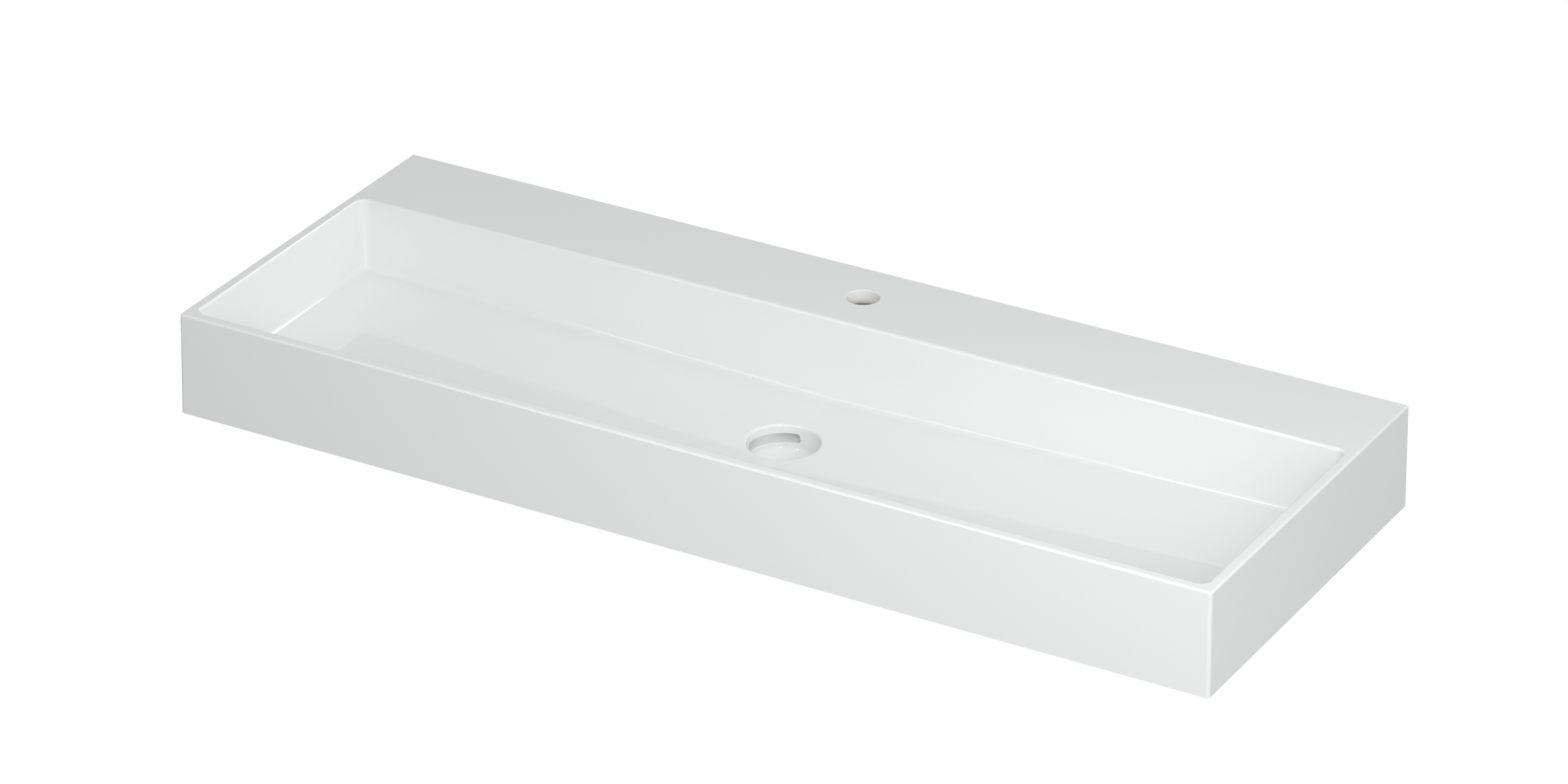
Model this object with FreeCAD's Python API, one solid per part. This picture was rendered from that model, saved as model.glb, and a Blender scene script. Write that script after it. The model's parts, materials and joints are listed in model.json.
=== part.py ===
import FreeCAD, Part
import math
import os

# Rectangular washbasin with a rear tap deck and a concealed overflow, in millimetres.
# X runs along the wall, +Y points at the wall and +Z is up.
# The origin is under the middle of the footprint, level with the foot of the outlet neck.

# Outer form
basin_length = 1200.0
basin_depth = 450.0
basin_height = 115.0
outer_inset = 2.0
foot_width = 15.0
outer_corner_radius = 4.0
rim_outer_radius = 4.0

# Rim, bowl and deck
rim_width = 13.0
rim_inner_radius = 3.0
deck_depth = 120.5
deck_thickness = 12.0
bowl_inset = 2.0
bowl_corner_radius = 10.0
valley_height = 20.0
end_rise = 13.5
floor_fillet = 6.0
floor_thickness = 10.0
rear_bowl_wall = 10.0
bowl_back_round = 14.0
deck_under_fillet = 8.0

# Drain well and outlet
drain_from_wall = 227.5
well_radius = 38.5
well_lip_radius = 4.0
well_wall = 8.0
well_joint_depth = 7.0
seat_depth = 26.0
seat_fall = 6.0
seat_foot_bevel = 2.0
seat_round = 6.5
seat_bend_share = 0.5
outlet_radius = 23.0
outlet_wall = 12.0
outlet_drop = 45.0

# Overflow slot in the wall of the well
slot_height = 10.6
slot_top_depth = 9.6
slot_start_angle = 92.0
slot_end_angle = 190.5

# Overflow ducts behind and under the bowl
duct_wall = 7.0
duct_width = 50.0
duct_offset = 83.0
riser_depth = 24.0
down_duct_depth = 20.0
duct_joint_height = 30.0
weir_below_rim = 35.0
return_width = 28.0
return_height = 10.0
return_gap = 2.0

# Tap hole and its pad
tap_radius = 17.5
tap_edge_bevel = 1.0
tap_pad_radius = 35.0
tap_pad_thickness = 3.0

# Rear wall and wall fixings
rear_wall_thickness = 12.0
fixing_height = 60.0
fixing_radius = 8.0
inner_fixing_spacing = 280.0
outer_fixing_share = 0.75
fixing_boss_width = 44.0
fixing_boss_thickness = 8.0
fixing_boss_bevel = 3.0
fixing_boss_corner = 10.0
service_width = 200.0
service_height = 38.0
service_radius = 18.0

# Webs that hold the deck up over the rear hollow
web_thickness = 9.0
web_foot_height = 28.0
web_arch_rise = 34.0
inner_web_share = 0.37
outer_web_share = 0.67

# How far every cutting shape runs past what it cuts
overrun = 20.0

half_length = basin_length / 2
front_y = -basin_depth / 2
back_y = basin_depth / 2
base_z = outlet_drop
top_z = base_z + basin_height
valley_z = base_z + valley_height
bowl_half = half_length - outer_inset - rim_width
floor_slope = end_rise / bowl_half
bowl_front_y = front_y + outer_inset + rim_width
bowl_back_y = back_y - deck_depth
bowl_outside_y = bowl_back_y + rear_bowl_wall
skirt_x = half_length - foot_width
deck_under_z = top_z - deck_thickness
drain_y = back_y - drain_from_wall
well_outer_radius = well_radius + well_wall
well_joint_z = valley_z - well_joint_depth
neck_radius = outlet_radius + outlet_wall
seat_z = valley_z - seat_depth
seat_inner_z = seat_z - seat_fall
well_ledge_z = seat_z - well_wall
well_foot_z = seat_inner_z - seat_round
slot_top_z = valley_z - slot_top_depth
slot_bottom_z = slot_top_z - slot_height
passage_under_z = slot_bottom_z - duct_wall
duct_joint_z = base_z + duct_joint_height
duct_left_x = -duct_offset - duct_width / 2
duct_right_x = -duct_offset + duct_width / 2
weir_front_y = bowl_outside_y + riser_depth
weir_back_y = weir_front_y + duct_wall
down_duct_back_y = weir_back_y + down_duct_depth
return_top_z = well_foot_z - return_gap
return_floor_z = return_top_z - return_height
tap_y = back_y - deck_depth / 2
rear_inner_y = back_y - rear_wall_thickness
fixing_z = base_z + fixing_height
up = FreeCAD.Vector(0, 0, 1)
close = overrun / 1000


def vector(x, y, z=0.0):
    return FreeCAD.Vector(x, y, z)


def outline(points):
    """A closed wire through the given corners."""
    return Part.makePolygon(points + points[:1])


def prism(wire, low_z, high_z):
    """An upright solid over a flat wire drawn at height zero."""
    face = Part.Face(wire)
    face.translate(vector(0, 0, low_z))
    return face.extrude(vector(0, 0, high_z - low_z))


def block(low, high):
    """A box between two opposite corners."""
    size = high - low
    return Part.makeBox(size.x, size.y, size.z, low)


def round_post(radius, centre_y, low_z, high_z):
    """An upright cylinder on the centre line of the basin."""
    return Part.makeCylinder(radius, high_z - low_z, vector(0, centre_y, low_z), up)


def edges_at(shape, wanted):
    """The edges whose bounding box passes the given test."""
    return [edge for edge in shape.Edges if wanted(edge.BoundBox)]


def drafted_block(low_z, low_front, low_back, low_x, high_z, high_front, high_back, high_x):
    """Right half of a block with leaning walls, between two rectangles."""
    wedge = Part.makeWedge(0, low_z, -low_back, -high_back, 0, low_x, high_z, -low_front, -high_front, high_x)
    wedge.rotate(vector(0, 0, 0), vector(1, 0, 0), 90)
    return wedge


def both_sides(half):
    """The right half joined to its mirror image."""
    other = half.mirror(vector(0, 0, 0), vector(1, 0, 0))
    return half.fuse(other).removeSplitter()


def outer_half():
    """Right half of the outside: leaning walls, rounded front corner and rounded rim."""
    body = drafted_block(base_z, front_y, back_y, half_length,
                         top_z, front_y + outer_inset, back_y, half_length - outer_inset)
    corner = edges_at(body, lambda box: box.ZLength > basin_height / 2
                      and box.XMin > half_length / 2 and box.YMax < 0)
    body = body.makeFillet(outer_corner_radius, corner)
    rim = edges_at(body, lambda box: box.ZMin > top_z - close and box.XMax > close
                   and box.YMin < back_y - close)
    return body.makeFillet(rim_outer_radius, rim)


def floor_z(x):
    """Height of the bowl's folded floor, which rises from the valley to both ends."""
    return valley_z + floor_slope * x


def bowl_half_space():
    """Right half of the bowl's hollow, with its rounded corners and floor edge."""
    high_z = top_z + overrun
    spread = bowl_inset * overrun / basin_height
    walls = drafted_block(base_z, bowl_front_y + bowl_inset, bowl_back_y - bowl_inset, bowl_half - bowl_inset,
                          high_z, bowl_front_y - spread, bowl_back_y + spread, bowl_half + spread)
    section = [vector(0, front_y, valley_z), vector(half_length, front_y, floor_z(half_length)),
               vector(half_length, front_y, high_z), vector(0, front_y, high_z)]
    above_floor = Part.Face(outline(section)).extrude(vector(0, basin_depth, 0))
    space = walls.common(above_floor)
    corners = edges_at(space, lambda box: box.ZLength > basin_height / 2 and box.XMin > half_length / 2)
    space = space.makeFillet(bowl_corner_radius, corners)
    floor = min(space.Faces, key=lambda face: face.CenterOfMass.z)
    edge = [edge for edge in floor.Edges if edge.BoundBox.XMax > close]
    return space.makeFillet(floor_fillet, edge)


def under_half_space():
    """Right half of the hollow under the floor and under the deck, open downwards."""
    roof_z = valley_z - floor_thickness
    skirt_front_y = front_y + foot_width
    low_z = -overrun
    section = [vector(0, skirt_front_y, low_z), vector(skirt_x, skirt_front_y, low_z),
               vector(skirt_x, skirt_front_y, roof_z + floor_slope * skirt_x),
               vector(0, skirt_front_y, roof_z)]
    under_floor = Part.Face(outline(section)).extrude(vector(0, back_y + overrun - skirt_front_y, 0))
    under_deck = block(vector(0, bowl_outside_y, low_z), vector(skirt_x, back_y + overrun, deck_under_z))
    space = under_floor.fuse(under_deck).removeSplitter()
    bend = edges_at(space, lambda box: box.XLength > half_length / 2 and box.YLength < close
                    and abs(box.YMin - bowl_outside_y) < close and box.ZMax < deck_under_z - close)
    space = space.makeFillet(bowl_back_round, bend)
    ceiling = edges_at(space, lambda box: box.XLength > half_length / 2 and box.YLength < close
                       and abs(box.YMin - bowl_outside_y) < close and box.ZMin > deck_under_z - close)
    return space.makeFillet(deck_under_fillet, ceiling)


def basin_shell():
    """Bowl, rim, deck and outer walls: the one casting that carries every other."""
    half = outer_half().cut(bowl_half_space())
    lip = edges_at(half, lambda box: box.ZMin > top_z - close and box.XMax > close
                   and box.XMax < bowl_half + close and box.YMin > bowl_front_y - close
                   and box.YMax < bowl_back_y + close)
    half = half.makeFillet(rim_inner_radius, lip)
    half = half.cut(under_half_space())
    half = half.cut(round_post(well_radius, drain_y, -overrun, top_z + overrun))
    reach = well_radius + close
    edge = edges_at(half, lambda box: box.XMax < reach and box.XMax > well_radius / 2
                    and abs(box.YMin - drain_y) < reach and box.ZMin > valley_z - close
                    and box.ZMax < floor_z(reach) + close)
    half = half.makeFillet(well_lip_radius, edge)
    half = half.cut(round_post(well_outer_radius, drain_y, -overrun, well_joint_z))
    body = both_sides(half)
    body = body.cut(round_post(tap_radius, tap_y, -overrun, top_z + overrun))
    ring = edges_at(body, lambda box: box.ZMin > top_z - close and box.XMax < tap_radius + close
                    and box.XMin > -tap_radius - close and box.YMin > bowl_back_y)
    return body.makeChamfer(tap_edge_bevel, ring)


def turned(profile):
    """A solid of revolution about the drain's axis, from (radius, height) corners."""
    corners = [vector(radius, 0, height) for radius, height in profile]
    solid = Part.Face(outline(corners)).revolve(vector(0, 0, 0), up, 360)
    solid.translate(vector(0, drain_y, 0))
    return solid


def slot_tool():
    """The overflow slot: a band round the well's wall with full round ends."""
    end_radius = slot_height / 2
    end_turn = math.degrees(math.asin(end_radius / well_radius))
    middle_z = slot_bottom_z + end_radius
    reach = well_outer_radius + well_wall
    low = vector(outlet_radius, 0, slot_bottom_z)
    corners = [low, low + vector(reach - outlet_radius, 0, 0),
               low + vector(reach - outlet_radius, 0, slot_height), low + vector(0, 0, slot_height)]
    start = slot_start_angle + end_turn
    sweep = slot_end_angle - slot_start_angle - 2 * end_turn
    band = Part.Face(outline(corners)).revolve(vector(0, 0, 0), up, sweep)
    band.rotate(vector(0, 0, 0), up, start)
    for angle in (start, start + sweep):
        turn = math.radians(angle)
        aim = vector(math.cos(turn), math.sin(turn))
        foot = aim * outlet_radius + vector(0, 0, middle_z)
        band = band.fuse(Part.makeCylinder(end_radius, reach - outlet_radius, foot, aim))
    band.translate(vector(0, drain_y, 0))
    return band


def drain_well():
    """The round well under the bowl: its wall with the overflow slot, and the plug's dished seat."""
    bend = seat_round - seat_round * math.sqrt(seat_bend_share)
    body = turned([(outlet_radius, well_foot_z), (neck_radius, well_foot_z), (neck_radius, well_ledge_z),
                   (well_outer_radius, well_ledge_z), (well_outer_radius, well_joint_z),
                   (well_radius, well_joint_z), (well_radius, seat_z + seat_foot_bevel),
                   (well_radius - seat_foot_bevel, seat_z),
                   (outlet_radius + seat_round, seat_inner_z), (outlet_radius + bend, seat_inner_z - bend)])
    return body.cut(slot_tool())


def return_outline():
    """Plan of the return duct: from the outlet's axis back to the foot of the down duct."""
    aim = vector(-duct_offset, bowl_outside_y - drain_y)
    side = vector(aim.y, -aim.x).normalize() * (return_width / 2)
    centre = vector(0, drain_y)
    return outline([centre + side, vector(duct_right_x, bowl_outside_y), vector(duct_right_x, down_duct_back_y),
                    vector(duct_left_x, down_duct_back_y), vector(duct_left_x, bowl_outside_y), centre - side])


def outlet_neck():
    """The neck that the waste is clamped to, with the overflow's way in on its rear left side."""
    neck = turned([(outlet_radius, 0), (neck_radius, 0),
                   (neck_radius, well_foot_z), (outlet_radius, well_foot_z)])
    return neck.cut(prism(return_outline(), return_floor_z, return_top_z))


def passage_outline():
    """Plan of the upper passage: from both ends of the slot back to the riser."""
    ends = []
    for angle in (slot_start_angle, slot_end_angle):
        turn = math.radians(angle)
        ends.append(vector(well_radius * math.cos(turn), drain_y + well_radius * math.sin(turn)))
    return outline([ends[0], vector(duct_right_x, bowl_outside_y), vector(duct_right_x, weir_front_y),
                    vector(duct_left_x, weir_front_y), vector(duct_left_x, bowl_outside_y), ends[1]])


def overflow_passage(space):
    """The trough that leads from the slot, under the bowl's floor, to the foot of the riser."""
    plan = passage_outline()
    outside = prism(plan.makeOffset2D(duct_wall), passage_under_z, duct_joint_z)
    inside = prism(plan, slot_bottom_z, duct_joint_z + overrun)
    trough = outside.cut(inside).cut(round_post(well_outer_radius, drain_y, -overrun, top_z))
    return trough.common(space)


def return_passage(space):
    """The lower trough that leads from the down duct to the outlet, below the plug's seat."""
    plan = return_outline()
    outside = prism(plan.makeOffset2D(duct_wall), return_floor_z - duct_wall, duct_joint_z)
    inside = prism(plan, return_floor_z, duct_joint_z + overrun)
    above = block(vector(-half_length, front_y, passage_under_z), vector(half_length, weir_back_y, top_z))
    neck = round_post(neck_radius, drain_y, -overrun, top_z)
    well = round_post(well_outer_radius, drain_y, well_ledge_z, top_z)
    return outside.cut(inside).cut(above).cut(neck).cut(well).common(space)


def overflow_box(space):
    """The three-sided duct on the back of the bowl that holds the riser and the down duct."""
    plan = outline([vector(duct_left_x, bowl_outside_y), vector(duct_right_x, bowl_outside_y),
                    vector(duct_right_x, down_duct_back_y), vector(duct_left_x, down_duct_back_y)])
    outside = prism(plan.makeOffset2D(duct_wall), duct_joint_z, deck_under_z)
    inside = prism(plan, duct_joint_z - overrun, deck_under_z + overrun)
    front = block(vector(-half_length, front_y, 0), vector(half_length, bowl_outside_y, top_z))
    return outside.cut(inside).cut(front).common(space)


def weir_plate():
    """The plate between riser and down duct, whose top edge sets the water level."""
    return block(vector(duct_left_x, weir_front_y, duct_joint_z),
                 vector(duct_right_x, weir_back_y, top_z - weir_below_rim))


def tap_pad():
    """The thicker ring under the deck that the tap's nut bears on."""
    pad = round_post(tap_pad_radius, tap_y, deck_under_z - tap_pad_thickness, deck_under_z)
    return pad.cut(round_post(tap_radius, tap_y, 0, top_z))


def two_pairs(inner, outer):
    """Name and X of an inner and an outer pair of places, each as far left as right."""
    return {"left_outer": -outer, "left_inner": -inner, "right_inner": inner, "right_outer": outer}


def fixing_places():
    """The four wall fixings."""
    return two_pairs(inner_fixing_spacing / 2, outer_fixing_share * half_length)


def web_places():
    """The four webs under the deck."""
    return two_pairs(inner_web_share * half_length, outer_web_share * half_length)


def fixing_hole(x):
    """A hole from front to back through the rear wall and the boss on it."""
    start_y = rear_inner_y - fixing_boss_thickness - overrun
    return Part.makeCylinder(fixing_radius, back_y + overrun - start_y,
                             vector(x, start_y, fixing_z), vector(0, 1, 0))


def rear_wall(space):
    """The wall that bears on the building's wall, with fixing holes and a service opening."""
    wall = block(vector(-skirt_x, rear_inner_y, base_z), vector(skirt_x, back_y, deck_under_z))
    wide = service_width / 2
    opening = block(vector(-wide, rear_inner_y - overrun, base_z - overrun),
                    vector(wide, back_y + overrun, base_z + service_height))
    corners = edges_at(opening, lambda box: box.YLength > rear_wall_thickness
                       and box.ZMin > base_z)
    wall = wall.cut(opening.makeFillet(service_radius, corners))
    for x in fixing_places().values():
        wall = wall.cut(fixing_hole(x))
    return wall.common(space)


def fixing_outline(x):
    """A square with cut corners on the rear wall, round a fixing's axis."""
    half = fixing_boss_width / 2
    flat = half - fixing_boss_corner
    corners = [(-flat, -half), (flat, -half), (half, -flat), (half, flat),
               (flat, half), (-flat, half), (-half, flat), (-half, -flat)]
    return outline([vector(x + across, rear_inner_y, fixing_z + rise) for across, rise in corners])


def fixing_boss(x):
    """The raised pad inside the rear wall that a fixing's washer bears on."""
    face_y = rear_inner_y - fixing_boss_thickness
    boss = Part.Face(fixing_outline(x)).extrude(vector(0, -fixing_boss_thickness, 0))
    face_edges = edges_at(boss, lambda box: box.YMax < face_y + close)
    return boss.makeChamfer(fixing_boss_bevel, face_edges).cut(fixing_hole(x))


def deck_web(x, space):
    """An arched web between the bowl and the rear wall, under the deck."""
    left = x - web_thickness / 2
    foot_z = base_z + web_foot_height
    middle_y = (bowl_outside_y + rear_inner_y) / 2
    low_y = bowl_outside_y - bowl_back_round
    arch = Part.Arc(vector(left, low_y, foot_z), vector(left, middle_y, foot_z + web_arch_rise),
                    vector(left, rear_inner_y, foot_z)).toShape()
    sides = Part.makePolygon([vector(left, rear_inner_y, foot_z), vector(left, rear_inner_y, deck_under_z),
                              vector(left, low_y, deck_under_z), vector(left, low_y, foot_z)])
    face = Part.Face(Part.Wire([arch] + sides.Edges))
    return face.extrude(vector(web_thickness, 0, 0)).common(space)


def build():
    """Every sub-part by name, each in its place."""
    space = both_sides(under_half_space())
    nodes = {
        "basin_shell": basin_shell(),
        "rear_wall": rear_wall(space),
        "drain_well": drain_well(),
        "outlet_neck": outlet_neck(),
        "overflow_passage": overflow_passage(space),
        "return_passage": return_passage(space),
        "overflow_box": overflow_box(space),
        "weir_plate": weir_plate(),
        "tap_pad": tap_pad(),
    }
    for name, x in fixing_places().items():
        nodes["fixing_boss_" + name] = fixing_boss(x)
    for name, x in web_places().items():
        nodes["deck_web_" + name] = deck_web(x, space)
    return nodes


os.makedirs("parts", exist_ok=True)
for name, shape in build().items():
    shape.exportStep("parts/" + name + ".step")
    box = shape.BoundBox
    print(name, "solids", len(shape.Solids), "valid", shape.isValid(), "volume", round(shape.Volume / 1000, 1),
          "box", [round(v, 2) for v in (box.XMin, box.YMin, box.ZMin, box.XMax, box.YMax, box.ZMax)])
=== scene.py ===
# %% [markdown]
# A washbasin of white glazed ceramic
#
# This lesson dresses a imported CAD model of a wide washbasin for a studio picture.
# The frame is the fixed truth: every size is read from it or named once in metres.
# The big visible castings, the shell and the drain well, are modelled again here with finer
# roundings, because a gloss glaze shows every facet. The hidden castings keep their CAD meshes.
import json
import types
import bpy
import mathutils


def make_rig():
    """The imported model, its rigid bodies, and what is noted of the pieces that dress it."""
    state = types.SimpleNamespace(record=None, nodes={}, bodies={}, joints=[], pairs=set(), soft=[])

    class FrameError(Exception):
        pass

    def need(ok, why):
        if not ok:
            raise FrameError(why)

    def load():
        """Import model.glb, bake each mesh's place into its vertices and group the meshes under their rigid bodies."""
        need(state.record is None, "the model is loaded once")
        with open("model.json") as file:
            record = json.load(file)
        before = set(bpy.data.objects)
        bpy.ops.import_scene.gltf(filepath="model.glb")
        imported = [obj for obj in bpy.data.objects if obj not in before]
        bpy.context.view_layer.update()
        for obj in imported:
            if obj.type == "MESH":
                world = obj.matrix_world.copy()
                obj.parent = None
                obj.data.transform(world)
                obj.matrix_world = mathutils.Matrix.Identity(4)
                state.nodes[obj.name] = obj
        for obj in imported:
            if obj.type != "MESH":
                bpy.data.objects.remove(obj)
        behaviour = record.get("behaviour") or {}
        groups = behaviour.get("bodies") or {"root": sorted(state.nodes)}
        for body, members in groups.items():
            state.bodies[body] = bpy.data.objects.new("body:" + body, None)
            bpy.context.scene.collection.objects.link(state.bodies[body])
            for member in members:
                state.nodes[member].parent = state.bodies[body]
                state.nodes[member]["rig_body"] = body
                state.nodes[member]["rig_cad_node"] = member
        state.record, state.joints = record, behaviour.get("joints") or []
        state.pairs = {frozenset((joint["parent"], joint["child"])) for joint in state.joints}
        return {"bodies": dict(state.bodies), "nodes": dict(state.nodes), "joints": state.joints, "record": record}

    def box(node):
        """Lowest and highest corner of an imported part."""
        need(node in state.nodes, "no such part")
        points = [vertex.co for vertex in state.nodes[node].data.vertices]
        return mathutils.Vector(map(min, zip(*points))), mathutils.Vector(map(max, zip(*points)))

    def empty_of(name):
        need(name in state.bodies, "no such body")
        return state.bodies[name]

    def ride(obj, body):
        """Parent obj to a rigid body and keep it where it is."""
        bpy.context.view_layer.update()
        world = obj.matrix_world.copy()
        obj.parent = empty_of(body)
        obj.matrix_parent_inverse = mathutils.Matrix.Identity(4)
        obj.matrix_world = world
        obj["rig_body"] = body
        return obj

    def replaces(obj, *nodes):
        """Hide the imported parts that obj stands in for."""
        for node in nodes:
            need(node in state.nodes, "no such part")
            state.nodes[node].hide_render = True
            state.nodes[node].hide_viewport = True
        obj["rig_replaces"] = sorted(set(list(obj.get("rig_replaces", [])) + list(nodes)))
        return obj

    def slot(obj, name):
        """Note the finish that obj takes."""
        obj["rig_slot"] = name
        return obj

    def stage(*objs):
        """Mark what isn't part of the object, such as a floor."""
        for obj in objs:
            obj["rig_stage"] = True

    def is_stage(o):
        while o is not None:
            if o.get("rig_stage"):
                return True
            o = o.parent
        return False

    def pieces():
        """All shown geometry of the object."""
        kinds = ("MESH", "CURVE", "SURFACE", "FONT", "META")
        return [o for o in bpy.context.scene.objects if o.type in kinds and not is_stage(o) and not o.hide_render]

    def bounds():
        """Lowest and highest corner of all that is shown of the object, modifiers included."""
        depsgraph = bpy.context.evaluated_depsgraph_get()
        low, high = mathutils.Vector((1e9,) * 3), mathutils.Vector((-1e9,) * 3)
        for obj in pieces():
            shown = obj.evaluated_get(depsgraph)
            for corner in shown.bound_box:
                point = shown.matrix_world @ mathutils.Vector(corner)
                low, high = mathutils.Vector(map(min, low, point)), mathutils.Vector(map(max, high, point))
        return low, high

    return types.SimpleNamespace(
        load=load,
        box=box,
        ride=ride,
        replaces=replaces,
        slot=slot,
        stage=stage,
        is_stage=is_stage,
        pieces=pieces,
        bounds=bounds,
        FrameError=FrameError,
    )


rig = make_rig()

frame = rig.load()

# %% Modules and the box that nothing may leave
import json
import math

import bmesh
import bpy
from mathutils import Quaternion, Vector

cad_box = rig.bounds()
print("CAD box", [tuple(round(value, 4) for value in corner) for corner in cad_box])

# %% [markdown]
# The camera comes first, so that every later choice can be judged through it.
# A product picture like this is taken with a long lens from well above the rim, which keeps the
# long walls nearly parallel. A short lens nearer by would make the right end look far too large.

# %% Camera
camera_turn = math.radians(29.756)
camera_fall = math.radians(27.416)
camera_roll = math.radians(-0.03)
camera_reach = 6.4561
camera_aim = Vector((0.0351, -0.0630, cad_box[1].z))
sensor_mm = 36
lens_mm = 145.99

look = Vector((-math.sin(camera_turn) * math.cos(camera_fall),
               math.cos(camera_turn) * math.cos(camera_fall), -math.sin(camera_fall)))
camera_data = bpy.data.cameras.new("camera")
camera_data.sensor_width = sensor_mm
camera_data.lens = lens_mm
camera = bpy.data.objects.new("camera", camera_data)
bpy.context.scene.collection.objects.link(camera)
camera.location = camera_aim - look * camera_reach
camera.rotation_mode = "QUATERNION"
camera.rotation_quaternion = Quaternion(look, camera_roll) @ look.to_track_quat("-Z", "Y")
bpy.context.scene.camera = camera
print("camera at", tuple(round(value, 4) for value in camera.location))

# %% [markdown]
# The basin's own sizes are next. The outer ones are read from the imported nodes, and the rest are
# the driving sizes of the pottery mould: the width of the rim, the lean of the walls that lets the
# casting leave its mould, and the radii of its edges. Two of the radii, at the rim's outer edge and
# at the lip of the well, are tighter here than in the CAD: the light that they catch in the photo
# is a finer line than 4 mm would draw.

# %% Sizes of the basin, in metres
shell_low, shell_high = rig.box("basin_shell")
well_low, well_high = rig.box("drain_well")
wall_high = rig.box("rear_wall")[1]

half_length = shell_high.x
front_y = shell_low.y
back_y = shell_high.y
base_z = shell_low.z
top_z = shell_high.z
height = top_z - base_z
depth = back_y - front_y

outer_inset = 0.002
outer_corner_radius = 0.004
rim_outer_radius = 0.0025
rim_width = 0.013
rim_inner_radius = 0.003
bowl_inset = 0.002
bowl_corner_radius = 0.010
floor_fillet = 0.006
deck_depth = 0.1205
end_rise = 0.0135
floor_thickness = 0.010
rear_bowl_wall = 0.010
bowl_back_round = 0.014
deck_under_fillet = 0.008

skirt_x = wall_high.x
skirt_front_y = front_y + half_length - skirt_x
deck_under_z = wall_high.z
bowl_half = half_length - outer_inset - rim_width
bowl_front_y = front_y + outer_inset + rim_width
bowl_back_y = back_y - deck_depth
bowl_outside_y = bowl_back_y + rear_bowl_wall
well_joint_z = well_high.z
well_joint_depth = 0.007
valley_z = well_joint_z + well_joint_depth
floor_slope = end_rise / bowl_half
drain_y = (well_low.y + well_high.y) / 2
well_outer_radius = well_high.x
well_wall = 0.008
well_radius = well_outer_radius - well_wall
well_lip_radius = 0.0025
tap_y = back_y - deck_depth / 2
tap_radius = 0.0175
tap_edge_radius = 0.001

# A cut runs past its target by the overrun, and lengths that differ by less than near are equal.
overrun = 0.020
near = 0.00005
print("half length", round(half_length, 4), "base", round(base_z, 4), "top", round(top_z, 4),
      "valley", round(valley_z, 4), "drain at y", round(drain_y, 4))

# %% [markdown]
# Helpers for modelling as by hand. Each new primitive is added at its size and place. Its faces
# and edges are then selected in code, by where they lie, and an operator shapes what is selected.
# A rounding is made of flat strips: a wide one needs more of them to look round in gloss.

# %% Helpers: a box, a post, a selection and a cut
round_corners = 128
bowl_corner_steps = 10
wide_edge_steps = 8
narrow_edge_steps = 6
tiny_edge_steps = 4


def start_piece(name):
    """Name the primitive that was just added and put its place into its mesh."""
    bpy.ops.object.transform_apply(location=True, rotation=True, scale=True)
    piece = bpy.context.active_object
    piece.name = name
    piece.data.name = name
    return piece


def box_piece(name, low, high):
    """A box between two corners."""
    bpy.ops.object.select_all(action="DESELECT")
    middle = [(a + b) / 2 for a, b in zip(low, high)]
    size = [b - a for a, b in zip(low, high)]
    bpy.ops.mesh.primitive_cube_add(size=1, location=middle, scale=size)
    return start_piece(name)


def post_piece(name, radius, centre_y, low_z, high_z, corners=round_corners):
    """An upright post on the basin's centre line."""
    bpy.ops.object.select_all(action="DESELECT")
    bpy.ops.mesh.primitive_cylinder_add(vertices=corners, radius=radius, depth=high_z - low_z,
                                        location=(0, centre_y, (low_z + high_z) / 2))
    return start_piece(name)


def edit_mode(piece):
    """Open a piece in edit mode."""
    bpy.context.view_layer.objects.active = piece
    bpy.ops.object.mode_set(mode="EDIT")


def object_mode():
    """Leave edit mode."""
    bpy.ops.object.mode_set(mode="OBJECT")


def select(piece, kind, wanted, fold=None):
    """Select faces or edges by a test on their corners and, for edges, by their fold. Count them."""
    edit_mode(piece)
    bpy.ops.mesh.select_mode(type=kind)
    bpy.ops.mesh.select_all(action="DESELECT")
    form = bmesh.from_edit_mesh(piece.data)
    count = 0
    for item in form.faces if kind == "FACE" else form.edges:
        folded = fold is None or item.calc_face_angle(0) > fold
        if folded and wanted([corner.co for corner in item.verts]):
            item.select_set(True)
            count += 1
    bmesh.update_edit_mesh(piece.data)
    return count


def bevel(radius, steps):
    """Round the selected edges."""
    bpy.ops.mesh.bevel(offset=radius, offset_type="OFFSET", segments=steps, profile=0.5, affect="EDGES")


def carve(piece, tool):
    """Take one piece out of another. The new faces keep the tool's material."""
    cut = piece.modifiers.new("cut", "BOOLEAN")
    cut.operation = "DIFFERENCE"
    cut.solver = "EXACT"
    cut.material_mode = "TRANSFER"
    cut.object = tool
    bpy.context.view_layer.objects.active = piece
    bpy.ops.object.modifier_apply(modifier=cut.name)
    bpy.data.objects.remove(tool)


def same(value, target):
    """True when two lengths agree."""
    return abs(value - target) < near


# %% [markdown]
# Two finishes cover the whole basin. The white glaze is a thin layer of glass over opaque white:
# a plain Principled shader with a low roughness gives it, and a very faint wave in the normal
# keeps long reflections from being ruler-straight. The raw body, where the potter wipes the
# glaze off or never sprays it, is matt, a little warmer, and has a fine grain, kiln specks, the
# strokes of a sponge and a mist of stray glaze. One group makes all these masks for both.

# %% Shared effect: the marks that making leaves on fired clay
mottle_scale = 14
speck_scale = 260
speck_span = (0.70, 0.76)
stroke_stretch = (7, 60, 160)
stroke_turn = (0.2, 0.1, 0.5)
mist_scale = 420
mist_span = (0.60, 0.68)
grain_scale = 900


def noise_node(tree, point, scale, detail):
    """Noise with a size and a level of detail."""
    node = tree.nodes.new("ShaderNodeTexNoise")
    node.inputs["Scale"].default_value = scale
    node.inputs["Detail"].default_value = detail
    tree.links.new(point, node.inputs["Vector"])
    return node.outputs["Fac"]


def only_above(tree, value, low, high):
    """A mask that is 0 under the low value and 1 over the high one."""
    keep = tree.nodes.new("ShaderNodeMapRange")
    keep.inputs["From Min"].default_value = low
    keep.inputs["From Max"].default_value = high
    tree.links.new(value, keep.inputs["Value"])
    return keep.outputs["Result"]


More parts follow.
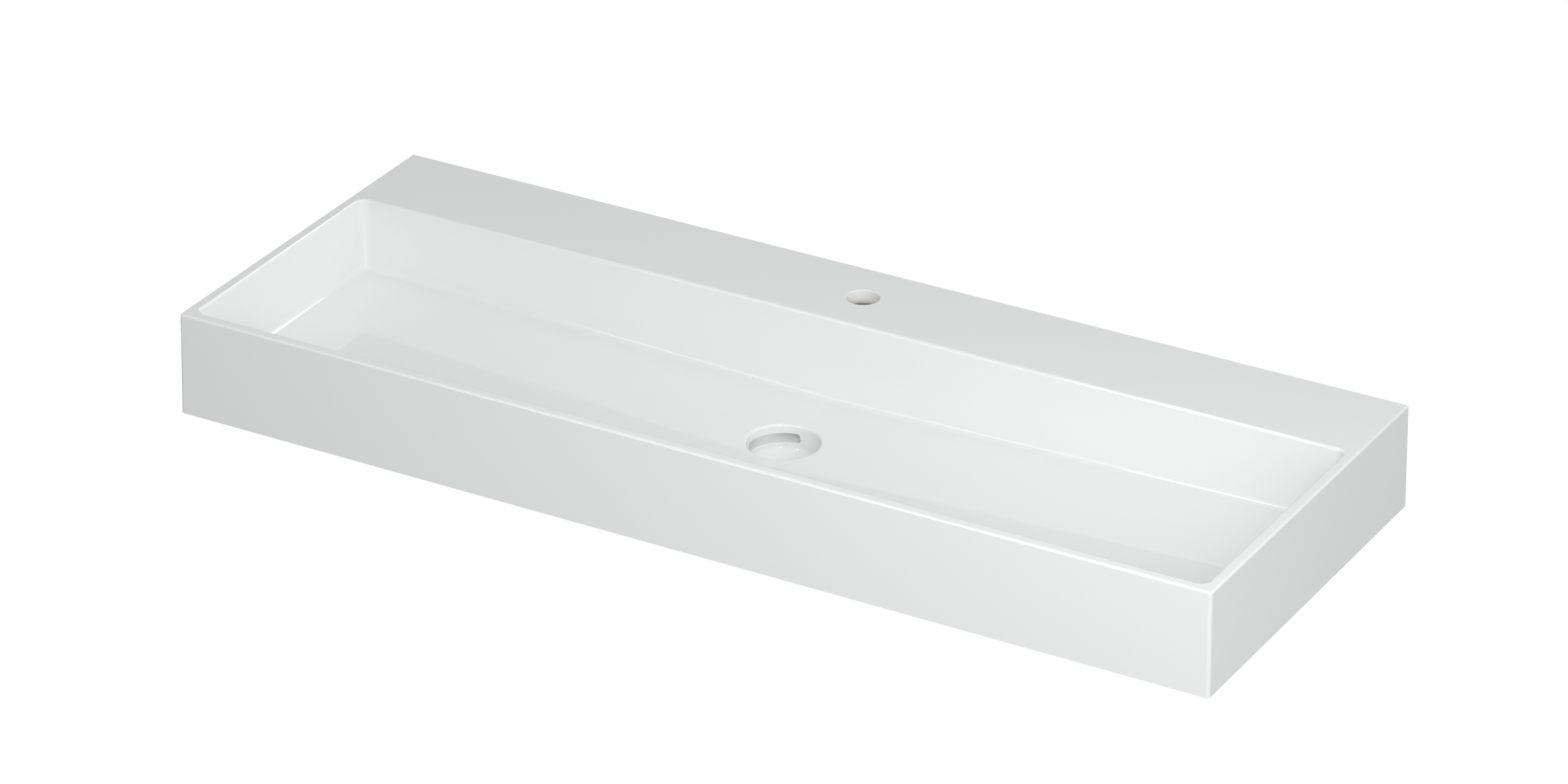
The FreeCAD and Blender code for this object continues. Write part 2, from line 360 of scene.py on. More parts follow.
def make_clay_group():
    """Node group: soft mottling, kiln specks, sponge strokes, glaze mist and the height of the grain."""
    group = bpy.data.node_groups.new("fired_clay", "ShaderNodeTree")
    group.interface.new_socket("Point", in_out="INPUT", socket_type="NodeSocketVector")
    for name in ("Mottle", "Specks", "Strokes", "Mist", "Grain"):
        group.interface.new_socket(name, in_out="OUTPUT", socket_type="NodeSocketFloat")
    enter = group.nodes.new("NodeGroupInput")
    leave = group.nodes.new("NodeGroupOutput")
    point = enter.outputs["Point"]
    stretch = group.nodes.new("ShaderNodeMapping")
    stretch.inputs["Scale"].default_value = stroke_stretch
    stretch.inputs["Rotation"].default_value = stroke_turn
    group.links.new(point, stretch.inputs["Vector"])
    effects = {"Mottle": noise_node(group, point, mottle_scale, detail=4),
               "Specks": only_above(group, noise_node(group, point, speck_scale, detail=1), *speck_span),
               "Strokes": noise_node(group, stretch.outputs["Vector"], scale=1, detail=3),
               "Mist": only_above(group, noise_node(group, point, mist_scale, detail=2), *mist_span),
               "Grain": noise_node(group, point, grain_scale, detail=3)}
    for name, socket in effects.items():
        group.links.new(socket, leave.inputs[name])
    return group


clay_group = make_clay_group()
print("node group", clay_group.name, "with", [item.name for item in clay_group.interface.items_tree])


# %% Helpers for materials
def new_material(name):
    """A material with the group of clay marks ready on Object coordinates."""
    material = bpy.data.materials.new(name)
    material.use_nodes = True
    tree = material.node_tree
    shader = tree.nodes["Principled BSDF"]
    point = tree.nodes.new("ShaderNodeTexCoord").outputs["Object"]
    clay = tree.nodes.new("ShaderNodeGroup")
    clay.node_tree = clay_group
    tree.links.new(point, clay.inputs["Point"])
    return material, tree, shader, clay, point


def mix_colours(tree, mask, plain, marked):
    """Mix by a mask. Each colour is three numbers or another node's result."""
    node = tree.nodes.new("ShaderNodeMix")
    node.data_type = "RGBA"
    tree.links.new(mask, node.inputs["Factor"])
    for socket, colour in ((node.inputs["A"], plain), (node.inputs["B"], marked)):
        if isinstance(colour, tuple):
            socket.default_value = (*colour, 1)
        else:
            tree.links.new(colour, socket)
    return node.outputs["Result"]


def span(tree, mask, low, high):
    """Turn a mask into a value between two numbers."""
    node = tree.nodes.new("ShaderNodeMapRange")
    node.inputs["To Min"].default_value = low
    node.inputs["To Max"].default_value = high
    tree.links.new(mask, node.inputs["Value"])
    return node.outputs["Result"]


def bump(tree, relief, distance, strength=1.0):
    """A normal that follows a relief of a given height."""
    node = tree.nodes.new("ShaderNodeBump")
    node.inputs["Distance"].default_value = distance
    node.inputs["Strength"].default_value = strength
    tree.links.new(relief, node.inputs["Height"])
    return node.outputs["Normal"]


# %% White glaze
glaze_thin = (0.872, 0.881, 0.882)
glaze_thick = (0.882, 0.890, 0.891)
glaze_roughness = 0.02
glaze_ior = 1.5
wave_scale = 9
wave_height = 0.00002


def make_glaze():
    """White gloss glaze for the seen faces of the shell, the well and the overflow passage."""
    material, tree, shader, clay, point = new_material("white_glaze_gloss")
    tree.links.new(mix_colours(tree, clay.outputs["Mottle"], glaze_thin, glaze_thick),
                   shader.inputs["Base Color"])
    shader.inputs["Roughness"].default_value = glaze_roughness
    shader.inputs["IOR"].default_value = glaze_ior
    wave = noise_node(tree, point, wave_scale, detail=1)
    tree.links.new(bump(tree, wave, wave_height), shader.inputs["Normal"])
    return material


glaze = make_glaze()
print("material", glaze.name, "roughness", glaze_roughness)

# %% Raw body
raw_dark = (0.68, 0.655, 0.605)
raw_light = (0.78, 0.765, 0.725)
speck_colour = (0.42, 0.36, 0.30)
raw_roughness = 0.78
mist_roughness = 0.35
stroke_strength = 0.5
grain_height = 0.0002
grain_strength = 0.6


def raw_finish(tree, clay):
    """Colour, roughness and normal of unglazed fired body with some stray glaze on it."""
    colour = mix_colours(tree, clay.outputs["Mottle"], raw_dark, raw_light)
    strokes = span(tree, clay.outputs["Strokes"], 0, stroke_strength)
    colour = mix_colours(tree, strokes, colour, raw_light)
    colour = mix_colours(tree, clay.outputs["Specks"], colour, speck_colour)
    colour = mix_colours(tree, clay.outputs["Mist"], colour, glaze_thin)
    roughness = span(tree, clay.outputs["Mist"], raw_roughness, mist_roughness)
    return colour, roughness, bump(tree, clay.outputs["Grain"], grain_height, grain_strength)


def make_raw():
    """Unglazed fired body."""
    material, tree, shader, clay = new_material("raw_body_matt")[:4]
    colour, roughness, normal = raw_finish(tree, clay)
    tree.links.new(colour, shader.inputs["Base Color"])
    tree.links.new(roughness, shader.inputs["Roughness"])
    tree.links.new(normal, shader.inputs["Normal"])
    return material


raw = make_raw()
print("material", raw.name, "roughness", raw_roughness)

# %% [markdown]
# The shell is the main casting: outer walls, rim, deck and bowl. A subdivision surface would round
# every edge alike and bulge the long flats, so it is carved from a block instead. The block is
# drafted and its edges are bevelled, then the hollow of the bowl is taken out of it.

# %% Outside of the shell
shell = box_piece("glazed_shell", (-half_length, front_y, base_z), (half_length, back_y, top_z))
shell.data.materials.append(glaze)
select(shell, "FACE", lambda corners: all(same(c.z, top_z) for c in corners))
bpy.ops.transform.resize(value=(1 - outer_inset / half_length, 1 - outer_inset / depth, 1),
                         center_override=(0, back_y, top_z))
select(shell, "EDGE", lambda corners: abs(corners[0].z - corners[1].z) > height / 2
       and all(c.y < 0 for c in corners))
bevel(outer_corner_radius, wide_edge_steps)
select(shell, "EDGE", lambda corners: all(same(c.z, top_z) for c in corners)
       and not all(same(c.y, back_y) for c in corners))
bevel(rim_outer_radius, wide_edge_steps)
object_mode()
print("outside of the shell:", len(shell.data.polygons), "faces")

# %% [markdown]
# The floor of the bowl falls from both ends to a shallow valley across the drain, so that water
# runs off. It could be had by pulling the middle of one wide floor face down, but gloss shows each
# bend in a face. So the hollow is a drafted block whose bottom is cut by two planes that meet in
# the valley, which keeps both halves of the floor truly flat.

# %% Hollow of the bowl
deep_z = base_z
high_z = top_z + overrun
spread = bowl_inset * overrun / height
hollow = box_piece("hollow", (-bowl_half - spread, bowl_front_y - spread, deep_z),
                   (bowl_half + spread, bowl_back_y + spread, high_z))
hollow.data.materials.append(glaze)
select(hollow, "FACE", lambda corners: all(same(c.z, deep_z) for c in corners))
inside_length = bowl_half + spread
inside_depth = (bowl_back_y - bowl_front_y) / 2 + spread
draw_in = bowl_inset + spread
bpy.ops.transform.resize(value=(1 - draw_in / inside_length, 1 - draw_in / inside_depth, 1),
                         center_override=(0, (bowl_front_y + bowl_back_y) / 2, deep_z))
for side in (1, -1):
    bpy.ops.mesh.select_all(action="SELECT")
    bpy.ops.mesh.bisect(plane_co=(0, 0, valley_z), plane_no=(-side * floor_slope, 0, 1),
                        use_fill=True, clear_inner=True)
select(hollow, "EDGE", lambda corners: abs(corners[0].z - corners[1].z) > height / 2)
bevel(bowl_corner_radius, bowl_corner_steps)
floor_top_z = valley_z + end_rise + near
select(hollow, "EDGE", lambda corners: all(c.z < floor_top_z for c in corners)
       and not all(same(c.x, 0) for c in corners))
bevel(floor_fillet, wide_edge_steps)
object_mode()
lowest = min(corner.co.z for corner in hollow.data.vertices)
print("hollow:", len(hollow.data.polygons), "faces, lowest", round(lowest, 4))
carve(shell, hollow)

# %% [markdown]
# A potter rounds each edge that is glazed, because glaze draws back from a sharp one. The rim's
# inner edge exists only now that the hollow is carved, so it is found by its place: level with
# the top, along the four sides and round the corners of the bowl. One bevel rounds it all, so
# that the strips join at the corners.

# %% Inner edge of the rim
found = select(shell, "EDGE", lambda corners: all(same(c.z, top_z) for c in corners)
               and all(abs(c.x) < bowl_half + near and bowl_front_y - near < c.y < bowl_back_y + near
                       for c in corners)
               and (all(abs(c.x) > bowl_half - bowl_corner_radius - near for c in corners)
                    or all(same(c.y, bowl_front_y) or same(c.y, bowl_back_y) for c in corners)))
bevel(rim_inner_radius, narrow_edge_steps)
object_mode()
print("rim's inner edge:", found, "edges rounded")

# %% [markdown]
# Under the floor and behind the bowl the casting is hollow and open downwards, because thick clay
# cracks as it dries. A Solidify modifier can't make that, as the walls aren't all one thickness.
# The hollow starts as one slab under the floor. Its rear strip is pulled up to the underside of
# the deck, and both ends of its front part are lifted so that it follows the folded floor.

# %% Hollow under the shell
low_z = -overrun
roof_z = valley_z - floor_thickness
under = box_piece("under", (-skirt_x, skirt_front_y, low_z), (skirt_x, back_y + overrun, roof_z))
under.data.materials.append(raw)
edit_mode(under)
for place, direction in (((0, 0, 0), (1, 0, 0)), ((0, bowl_outside_y, 0), (0, 1, 0))):
    bpy.ops.mesh.select_all(action="SELECT")
    bpy.ops.mesh.bisect(plane_co=place, plane_no=direction)
select(under, "FACE", lambda corners: all(same(c.z, roof_z) and c.y > bowl_outside_y - near
                                          for c in corners))
bpy.ops.mesh.extrude_region_move(TRANSFORM_OT_translate={"value": (0, 0, deck_under_z - roof_z)})
select(under, "EDGE", lambda corners: all(same(c.z, roof_z) and same(abs(c.x), skirt_x)
                                          and c.y < bowl_outside_y + near for c in corners))
bpy.ops.transform.translate(value=(0, 0, floor_slope * skirt_x))
select(under, "EDGE", lambda corners: all(same(c.y, bowl_outside_y)
                                          and low_z + near < c.z < deck_under_z - near for c in corners)
       and not same(corners[0].x, corners[1].x))
bevel(bowl_back_round, wide_edge_steps)
select(under, "EDGE", lambda corners: all(same(c.y, bowl_outside_y) and same(c.z, deck_under_z)
                                          for c in corners))
bevel(deck_under_fillet, narrow_edge_steps)
object_mode()
print("hollow below:", len(under.data.polygons), "faces")
carve(shell, under)

# %% [markdown]
# Three round holes follow: the mouth of the drain well with its soft lip, the recess below it
# where the well's own casting is seated, and the tap hole in the deck. A potter punches such holes
# in the firm clay with round tools, and here a post is taken out for each. The upper edges of the
# mouth and the tap hole are then found by their place and bevelled.

# %% Holes for drain and tap
tap_hole_corners = 96
mouth = post_piece("mouth", well_radius, drain_y, 0, top_z)
mouth.data.materials.append(glaze)
carve(shell, mouth)
lip_reach = well_radius + near
found = select(shell, "EDGE", lambda corners: all(
    abs(math.hypot(c.x, c.y - drain_y) - well_radius) < near and c.z > valley_z - near
    and c.z < valley_z + floor_slope * lip_reach + near for c in corners))
bevel(well_lip_radius, wide_edge_steps)
object_mode()
print("lip of the well:", found, "edges rounded")
recess = post_piece("recess", well_outer_radius, drain_y, 0, well_joint_z)
recess.data.materials.append(raw)
carve(shell, recess)
tap_hole = post_piece("tap_hole", tap_radius, tap_y, 0, top_z + overrun, tap_hole_corners)
tap_hole.data.materials.append(glaze)
carve(shell, tap_hole)
found = select(shell, "EDGE", lambda corners: all(
    same(c.z, top_z) and abs(math.hypot(c.x, c.y - tap_y) - tap_radius) < near for c in corners))
bevel(tap_edge_radius, tiny_edge_steps)
object_mode()
print("tap hole:", found, "edges rounded; shell:", len(shell.data.polygons), "faces")

# %% [markdown]
# A carved mesh is shaded last. The wide faces have to look flat while the narrow strips of each
# rounding blend, and plain smooth shading would bend the light on both. So edges over a set angle
# stay sharp, and weighted normals let each flat keep its direction. The two halves of the bowl's
# floor meet at an angle too small for that rule, so their valley is marked sharp by hand. The
# base and the back are wiped free of glaze before firing, and get the raw body.

# %% Shading of carved pieces
sharp_angle = math.radians(32)
cubic_cm = 1e6


def finish_piece(piece, slot, *nodes):
    """Smooth shading with flats kept flat, then the body and nodes that the piece stands for."""
    bpy.ops.object.select_all(action="DESELECT")
    piece.select_set(True)
    bpy.context.view_layer.objects.active = piece
    bpy.ops.object.shade_smooth_by_angle(angle=sharp_angle, keep_sharp_edges=True)
    even = piece.modifiers.new("even", "WEIGHTED_NORMAL")
    even.keep_sharp = True
    bpy.ops.object.modifier_apply(modifier=even.name)
    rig.ride(piece, "root")
    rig.slot(piece, slot)
    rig.replaces(piece, *nodes)
    form = bmesh.new()
    form.from_mesh(piece.data)
    loose = sum(1 for edge in form.edges if not edge.is_manifold)
    print(piece.name, len(piece.data.polygons), "faces,", loose, "open edges, volume",
          round(form.calc_volume() * cubic_cm, 1), "cm3")
    form.free()


select(shell, "EDGE", lambda corners: all(abs(c.x) < near for c in corners))
bpy.ops.mesh.mark_sharp()
print("wiped faces:", select(shell, "FACE", lambda corners: all(same(c.z, base_z) for c in corners)
                             or all(same(c.y, back_y) for c in corners)))
shell.active_material_index = shell.data.materials.find(raw.name)
bpy.ops.object.material_slot_assign()
object_mode()
finish_piece(shell, "white_glaze", "basin_shell")

# %% [markdown]
# The drain well is a casting of its own: a ring-shaped wall with a dished seat for the waste's
# flange, an outlet in the middle and an arc of overflow slot in the wall. A lathe profile suits
# it, so one circle is extruded and scaled ring by ring, down the wall, over the seat, through
# the outlet and back up outside. Spinning a drawn profile would do as well, but would leave
# doubled corners where the turn closes.

# %% Turned body of the well
neck_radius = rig.box("outlet_neck")[1].x
neck_wall = 0.012
outlet_radius = neck_radius - neck_wall
seat_depth = 0.026
seat_fall = 0.006
seat_z = valley_z - seat_depth
seat_inner_z = seat_z - seat_fall
outlet_flare = seat_inner_z - well_low.z
seat_corner_round = 0.002


def turn_to(radius, z):
    """Extrude the selected ring to another radius and height round the drain's axis."""
    form = bmesh.from_edit_mesh(well.data)
    ring = [v.co for v in form.verts if v.select]
    old_radius = math.hypot(ring[0].x, ring[0].y - drain_y)
    drop = z - ring[0].z
    bpy.ops.mesh.extrude_region_move(TRANSFORM_OT_translate={"value": (0, 0, drop)})
    bpy.ops.transform.resize(value=(radius / old_radius, radius / old_radius, 1),
                             center_override=(0, drain_y, z))


bpy.ops.object.select_all(action="DESELECT")
bpy.ops.mesh.primitive_circle_add(vertices=round_corners, radius=well_radius, fill_type="NOTHING",
                                  location=(0, drain_y, well_joint_z))
well = start_piece("drain_well_glazed")
well.data.materials.append(glaze)
edit_mode(well)
bpy.ops.mesh.select_mode(type="EDGE")
bpy.ops.mesh.select_all(action="SELECT")
for radius, z in ((well_radius, seat_z), (outlet_radius + outlet_flare, seat_inner_z),
                  (outlet_radius, well_low.z), (neck_radius, well_low.z),
                  (neck_radius, seat_z - well_wall), (well_outer_radius, seat_z - well_wall),
                  (well_outer_radius, well_joint_z)):
    turn_to(radius, z)
bpy.ops.mesh.select_all(action="DESELECT")
bpy.ops.mesh.select_non_manifold()
bpy.ops.mesh.bridge_edge_loops()
bpy.ops.mesh.select_all(action="SELECT")
bpy.ops.mesh.normals_make_consistent(inside=False)


def on_ring(corners, radius, z):
    """True when all corners lie on one level ring round the drain's axis."""
    return all(same(c.z, z) and abs(math.hypot(c.x, c.y - drain_y) - radius) < near for c in corners)


select(well, "EDGE", lambda corners: on_ring(corners, well_radius, seat_z))
bevel(seat_corner_round, tiny_edge_steps)
object_mode()
print("turned body of the well:", len(well.data.polygons), "faces")

# %% [markdown]
# Water that rises too high leaves through the overflow slot, an arc with round ends that follows
# the well's wall over a little more than a quarter of its turn. A straight cutter can't follow a
# curved wall, so the tool has three parts that all point at the drain's axis: a small upright
# face that is spun round it, and a lying post at each end. The slot's edge on the inner wall is
# then rounded, as the glaze leaves it.

# %% Overflow slot in the well's wall
slot_height = 0.0106
slot_top_depth = 0.0096
slot_start = math.radians(92)
slot_end = math.radians(190.5)
slot_edge_round = 0.0008
slot_z = valley_z - slot_top_depth - slot_height / 2
slot_steps = 48
slot_end_corners = 48
band_inner = outlet_radius + outlet_flare
band_overrun = 0.008
band_outer = well_outer_radius + band_overrun
slot_fold = math.radians(45)
end_turn = math.asin(slot_height / 2 / well_radius)


def slot_band(first, last):
    """The straight-edged part of the slot between two angles round the drain."""
    middle = ((band_inner + band_outer) / 2, drain_y, slot_z)
    bpy.ops.object.select_all(action="DESELECT")
    bpy.ops.mesh.primitive_plane_add(size=1, location=middle, rotation=(math.pi / 2, 0, 0))
    band = start_piece("slot_band")
    edit_mode(band)
    bpy.ops.mesh.select_all(action="SELECT")
    bpy.ops.transform.resize(value=(band_outer - band_inner, 1, slot_height), center_override=middle)
    bpy.ops.transform.rotate(value=-first, orient_axis="Z", center_override=(0, drain_y, slot_z))
    bpy.ops.mesh.spin(steps=slot_steps, angle=first - last, center=(0, drain_y, slot_z), axis=(0, 0, 1))
    bpy.ops.mesh.select_all(action="SELECT")
    bpy.ops.mesh.normals_make_consistent(inside=False)
    object_mode()
    angles = [math.degrees(math.atan2(v.co.y - drain_y, v.co.x)) % 360 for v in band.data.vertices]
    print("slot band from", round(min(angles), 1), "to", round(max(angles), 1), "degrees")
    return band


def slot_end_post(turn):
    """A lying post that rounds one end of the slot."""
    reach = (band_inner + band_outer) / 2
    bpy.ops.object.select_all(action="DESELECT")
    bpy.ops.mesh.primitive_cylinder_add(
        vertices=slot_end_corners, radius=slot_height / 2, depth=band_outer - band_inner,
        location=(reach * math.cos(turn), drain_y + reach * math.sin(turn), slot_z),
        rotation=(0, math.pi / 2, turn))
    return start_piece("slot_end")


for tool in (slot_band(slot_start + end_turn, slot_end - end_turn),
             slot_end_post(slot_start + end_turn), slot_end_post(slot_end - end_turn)):
    tool.data.materials.append(glaze)
    carve(well, tool)


def on_slot(corners):
    """True for corners on the well's inner wall, within the slot's height."""
    on_wall = all(abs(math.hypot(c.x, c.y - drain_y) - well_radius) < 2 * near for c in corners)
    inside = all(abs(c.z - slot_z) < slot_height / 2 + near for c in corners)
    return on_wall and inside


edit_mode(well)
bpy.ops.mesh.select_all(action="SELECT")
bpy.ops.mesh.remove_doubles(threshold=near / 5)
print("slot's edges:", select(well, "EDGE", on_slot, fold=slot_fold))
bevel(slot_edge_round, tiny_edge_steps)
object_mode()
finish_piece(well, "white_glaze", "drain_well")

# %% [markdown]
# The other castings are hidden in use: the neck and the ducts below the floor, and the wall, pads
# and webs behind the bowl. Their CAD shapes are right as they are, so they keep their meshes and
# only get their finish: glaze where water runs, raw body elsewhere. The neck has both, so its
# material asks how far a point lies from the drain's axis, and is glazed inside the bore only.

# %% Finish of the castings that keep their CAD meshes
bore_margin = 0.001


def make_neck_finish():
    """Raw body outside, glaze in the bore."""
    material, tree, shader, clay, point = new_material("neck_body_glazed_bore")
    colour, roughness, normal = raw_finish(tree, clay)
    centred = tree.nodes.new("ShaderNodeMapping")
    centred.inputs["Location"].default_value = (0, -drain_y, 0)
    centred.inputs["Scale"].default_value = (1, 1, 0)
    away = tree.nodes.new("ShaderNodeVectorMath")
    away.operation = "LENGTH"
    in_bore = tree.nodes.new("ShaderNodeMath")
    in_bore.operation = "LESS_THAN"
    in_bore.inputs[1].default_value = outlet_radius + bore_margin
    tree.links.new(point, centred.inputs["Vector"])
    tree.links.new(centred.outputs["Vector"], away.inputs[0])
    tree.links.new(away.outputs["Value"], in_bore.inputs[0])
    mask = in_bore.outputs["Value"]
    tree.links.new(mix_colours(tree, mask, colour, glaze_thick), shader.inputs["Base Color"])
    tree.links.new(span(tree, mask, raw_roughness, glaze_roughness), shader.inputs["Roughness"])
    tree.links.new(normal, shader.inputs["Normal"])
    return material


neck_finish = make_neck_finish()
for name, node in frame["nodes"].items():
    finish = {"outlet_neck": neck_finish, "overflow_passage": glaze}.get(name, raw)
    if name not in ("basin_shell", "drain_well"):
        for place in node.material_slots:
            place.material = finish
        print(name, "is finished in", finish.name)

# %% [markdown]
# The stage is a plain pale top that the basin stands on, cut out under the basin for its neck
# and ducts, as a vanity top would be. The picture wants it to run into a white background with
# no shadow, so only the camera sees it. The light that a real top would throw back up is given
# by the lower half of the studio instead. From below the top is clear, to show the underside.

# %% Stage
stage_reach = 12.0
stage_gap = 0.0003
stage_corners = 96
cut_out_low = (-0.30, -0.12, -1)
cut_out_high = (0.30, 0.20, 1)


def make_stage_white():
    """White that needs no light from above, and is clear from below."""
    material = bpy.data.materials.new("stage_white")
    material.use_nodes = True
    tree = material.node_tree
    tree.nodes.remove(tree.nodes["Principled BSDF"])
    white = tree.nodes.new("ShaderNodeEmission")
    clear = tree.nodes.new("ShaderNodeBsdfTransparent")
    side = tree.nodes.new("ShaderNodeNewGeometry")
    mix = tree.nodes.new("ShaderNodeMixShader")
    tree.links.new(side.outputs["Backfacing"], mix.inputs[0])
    tree.links.new(white.outputs["Emission"], mix.inputs[1])
    tree.links.new(clear.outputs["BSDF"], mix.inputs[2])
    tree.links.new(mix.outputs["Shader"], tree.nodes["Material Output"].inputs["Surface"])
    return material


bpy.ops.object.select_all(action="DESELECT")
bpy.ops.mesh.primitive_circle_add(vertices=stage_corners, radius=stage_reach, fill_type="NGON",
                                  location=(0, 0, base_z - stage_gap))
floor = start_piece("stage_floor")
floor.data.materials.append(make_stage_white())
cut_out = box_piece("cut_out", cut_out_low, cut_out_high)
cut_out.data.materials.append(floor.data.materials[0])
carve(floor, cut_out)
for rays in ("diffuse", "glossy", "transmission", "volume_scatter", "shadow"):
    setattr(floor, "visible_" + rays, False)
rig.stage(floor)
print("stage at", round(base_z - stage_gap, 4), "with", [slot.name for slot in floor.material_slots])

# %% [markdown]
# White on white is drawn by light alone. Even light from all round would flatten the bowl, and
# one hard lamp would burn it out. The studio is therefore a dim even room with two wide glows in
# its sky, one low at the back right and one high at the right, so that each wall of the bowl gets
# its own tone. The camera itself sees plain white behind the basin.

# %% Room light
room_low = 0.437
room_high = 0.387
plain_white = (1, 1, 1, 1)


def toward(azimuth, elevation):
    """Unit vector from the basin to a place in the studio, with angles in degrees from +X."""
    turn, rise = math.radians(azimuth), math.radians(elevation)
    return Vector((math.cos(turn) * math.cos(rise), math.sin(turn) * math.cos(rise), math.sin(rise)))


world = bpy.data.worlds.new("studio")
bpy.context.scene.world = world
world.use_nodes = True
sky = world.node_tree
sky_direction = sky.nodes.new("ShaderNodeTexCoord").outputs["Generated"]


def sky_math(operation, first, second):
    """One sum on the sky's brightness. Each value is a number or another node's result."""
    node = sky.nodes.new("ShaderNodeMath")
    node.operation = operation
    for socket, value in zip(node.inputs, (first, second)):
        if isinstance(value, float):
            socket.default_value = value
        else:
            sky.links.new(value, socket)
    return node.outputs["Value"]


def sky_glow(azimuth, elevation, strength, sharpness):
    """A glow in the sky, brightest in one direction."""
    facing = sky.nodes.new("ShaderNodeVectorMath")
    facing.operation = "DOT_PRODUCT"
    facing.inputs[1].default_value = toward(azimuth, elevation)
    sky.links.new(sky_direction, facing.inputs[0])
    ahead = sky_math("MAXIMUM", facing.outputs["Value"], 0.0)
    return sky_math("MULTIPLY", sky_math("POWER", ahead, sharpness), strength)


height_in_sky = sky.nodes.new("ShaderNodeSeparateXYZ")
sky.links.new(sky_direction, height_in_sky.inputs["Vector"])
above = sky_math("GREATER_THAN", height_in_sky.outputs["Z"], 0.0)
low_glow = sky_glow(azimuth=30, elevation=30, strength=0.28, sharpness=4.0)
high_glow = sky_glow(azimuth=345, elevation=60, strength=0.30, sharpness=1.0)
glow = sky_math("ADD", low_glow, high_glow)
extra = sky_math("MULTIPLY", above, sky_math("ADD", glow, room_high - room_low))
room = sky.nodes["Background"]
room.inputs["Color"].default_value = plain_white
sky.links.new(sky_math("ADD", extra, room_low), room.inputs["Strength"])
backdrop = sky.nodes.new("ShaderNodeBackground")
backdrop.inputs["Color"].default_value = plain_white
seen = sky.nodes.new("ShaderNodeMixShader")
sky.links.new(sky.nodes.new("ShaderNodeLightPath").outputs["Is Camera Ray"], seen.inputs[0])
sky.links.new(room.outputs["Background"], seen.inputs[1])
sky.links.new(backdrop.outputs["Background"], seen.inputs[2])
sky.links.new(seen.outputs["Shader"], sky.nodes["World Output"].inputs["Surface"])
bpy.context.scene.view_settings.view_transform = "Standard"
print("room light from", room_low, "below to", room_high, "above, plus its glow")

# %% [markdown]
# Lamps come last. On a gloss glaze one lamp does two jobs at once: it lights the white under the
# glass, and it shows as a bright line on each edge that mirrors it to the camera. Here the jobs are
# split, so that each can be set alone. Three soft boxes in a row at the front only light. The
# others only show in the gloss: strips behind and overhead draw the lines on the rim and along the
# folds of the bowl, and those at the front draw the corner line and the sparks on the well's lip.
# Two tiny lamps in the overflow passage stand for the light that glaze carries into a duct.

# %% Helpers for lamps
lamp_aim = Vector((0, 0, (base_z + top_z) / 2))


def add_lamp(name, place, facing, width, length, watts, gloss_only=False):
    """A soft box at a place, facing a direction: either it lights, or it only shows in the gloss."""
    bpy.ops.object.select_all(action="DESELECT")
    bpy.ops.object.light_add(type="AREA", location=place)
    lamp = bpy.context.active_object
    lamp.name = name
    lamp.rotation_mode = "QUATERNION"
    lamp.rotation_quaternion = facing.to_track_quat("-Z", "Y")
    lamp.data.shape = "RECTANGLE"
    lamp.data.size = width
    lamp.data.size_y = length
    lamp.data.energy = watts
    lamp.visible_glossy = gloss_only
    lamp.visible_diffuse = not gloss_only
    lamp.visible_camera = False


def lamp_round(name, azimuth, elevation, reach, width, length, watts, gloss_only=False):
    """A soft box on a sphere round the basin, looking at its middle."""
    away = toward(azimuth, elevation)
    add_lamp(name, lamp_aim + away * reach, -away, width, length, watts, gloss_only)


# %% Lamps that light
key_reach = 2.0
for name, azimuth, elevation, side, watts in (("key_left", 290, 35, 0.6, 9.0),
                                              ("key_middle", 305, 25, 0.6, 5.7),
                                              ("key_right", 335, 25, 1.2, 5.8)):
    lamp_round(name, azimuth, elevation, key_reach, side, side, watts)

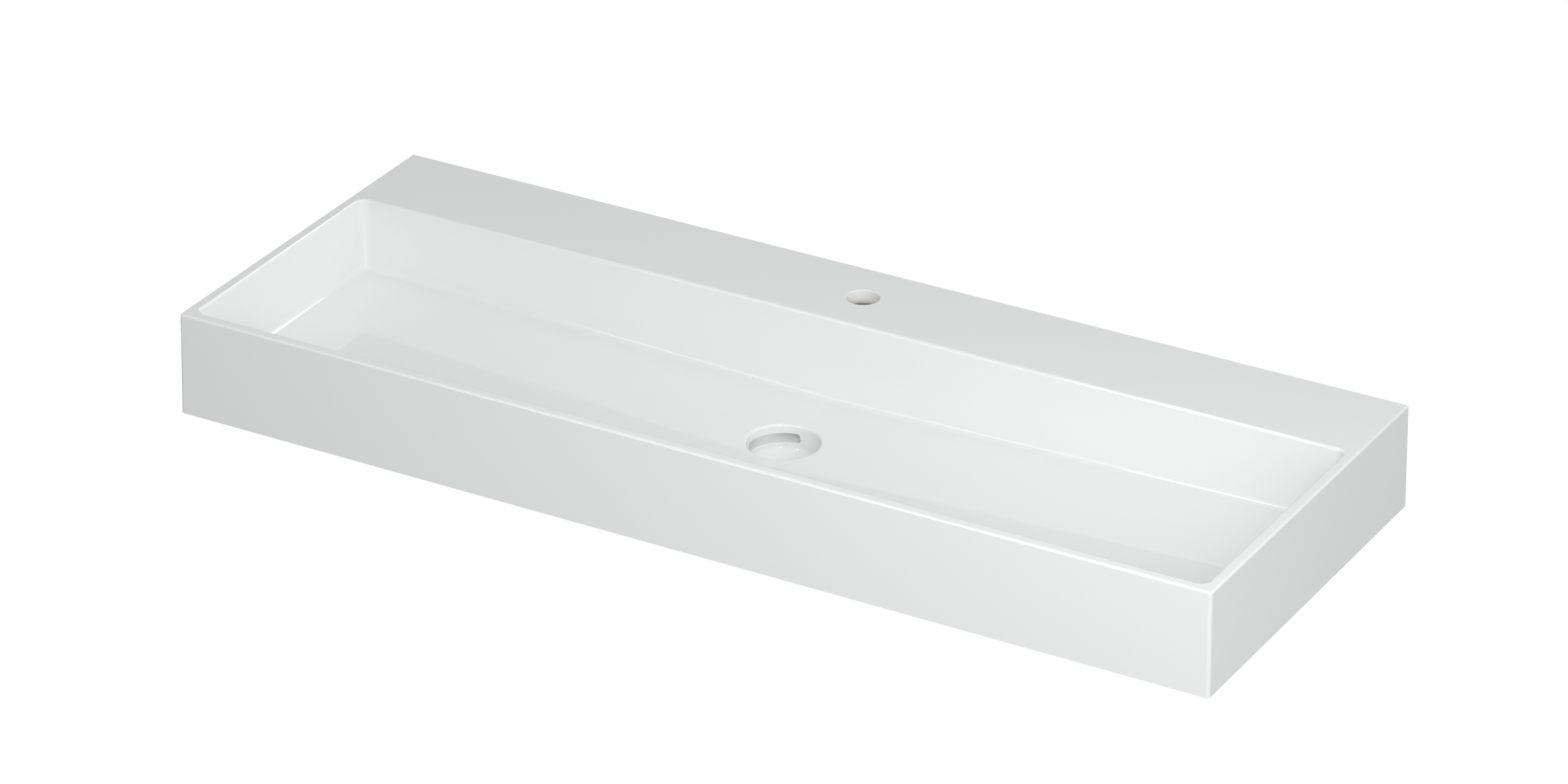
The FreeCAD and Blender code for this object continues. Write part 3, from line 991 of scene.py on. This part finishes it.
# %% Lamps in the overflow passage
duct_lamp_reach = 0.058
duct_lamp_drop = 0.0009
duct_lamp_fall = 0.2
duct_lamp_width = 0.03
duct_lamp_length = 0.012
for turn, watts in ((118, 0.0006), (145, 0.0010)):
    outward = toward(turn, 0) * duct_lamp_reach
    place = Vector((outward.x, drain_y + outward.y, slot_z + slot_height / 2 - duct_lamp_drop))
    facing = Vector((-outward.x, -outward.y, -duct_lamp_fall))
    add_lamp("duct_lamp_" + str(turn), place, facing, duct_lamp_width, duct_lamp_length, watts)

# %% [markdown]
# The lamps for the gloss are placed from the lines that they draw. The lean of the glaze at a line
# and the way to the camera give one direction for the light, and the strip hangs there. Its width
# sets how wide the line is, and its power how bright.

# %% Lamps that show in the gloss
back_row_y = 1.37
back_row_z = 1.33
back_row_length = 0.14
back_row_fall = math.radians(42)
back_row_facing = Vector((0, -math.cos(back_row_fall), -math.sin(back_row_fall)))
for name, x, width, watts in (("back_row_left", -0.905, 0.59, 1.5),
                              ("back_row_right", -0.24, 0.58, 0.95)):
    place = Vector((x, back_row_y, back_row_z))
    add_lamp(name, place, back_row_facing, width, back_row_length, watts, gloss_only=True)
for name, azimuth, elevation, reach, width, length, watts in (
        ("strip_a", 117, 77, 1.5, 0.28, 0.40, 2.1),
        ("strip_b", 99, 62, 1.5, 0.15, 0.30, 0.85),
        ("strip_c", 99, 44, 2.0, 0.40, 0.20, 1.5),
        ("corner_strip", 315, 25.3, 2.5, 0.9, 0.16, 15),
        ("spark_right", 315, 45, 2.5, 0.6, 0.18, 9),
        ("spark_left", 250, 45, 2.5, 0.4, 0.20, 8)):
    lamp_round(name, azimuth, elevation, reach, width, length, watts, gloss_only=True)
front_left_place = Vector((-1.55, -3.42, 1.30))
front_left_facing = Vector((0.40, 0.87, -0.30))
add_lamp("front_left", front_left_place, front_left_facing,
         width=1.2, length=0.8, watts=16.0, gloss_only=True)
print(len([item for item in bpy.data.objects if item.type == "LIGHT"]), "lamps")

# %% [markdown]
# Last, the box round the dressed basin is written down beside the box of the CAD model. The two
# agree when no new piece leaves the sizes that the frame gives.

# %% Sizes for the record, and the end
with open("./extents.json", "w") as out:
    json.dump({"cad": [list(corner) for corner in cad_box],
               "visual": [list(corner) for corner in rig.bounds()]}, out)
print(open("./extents.json").read())
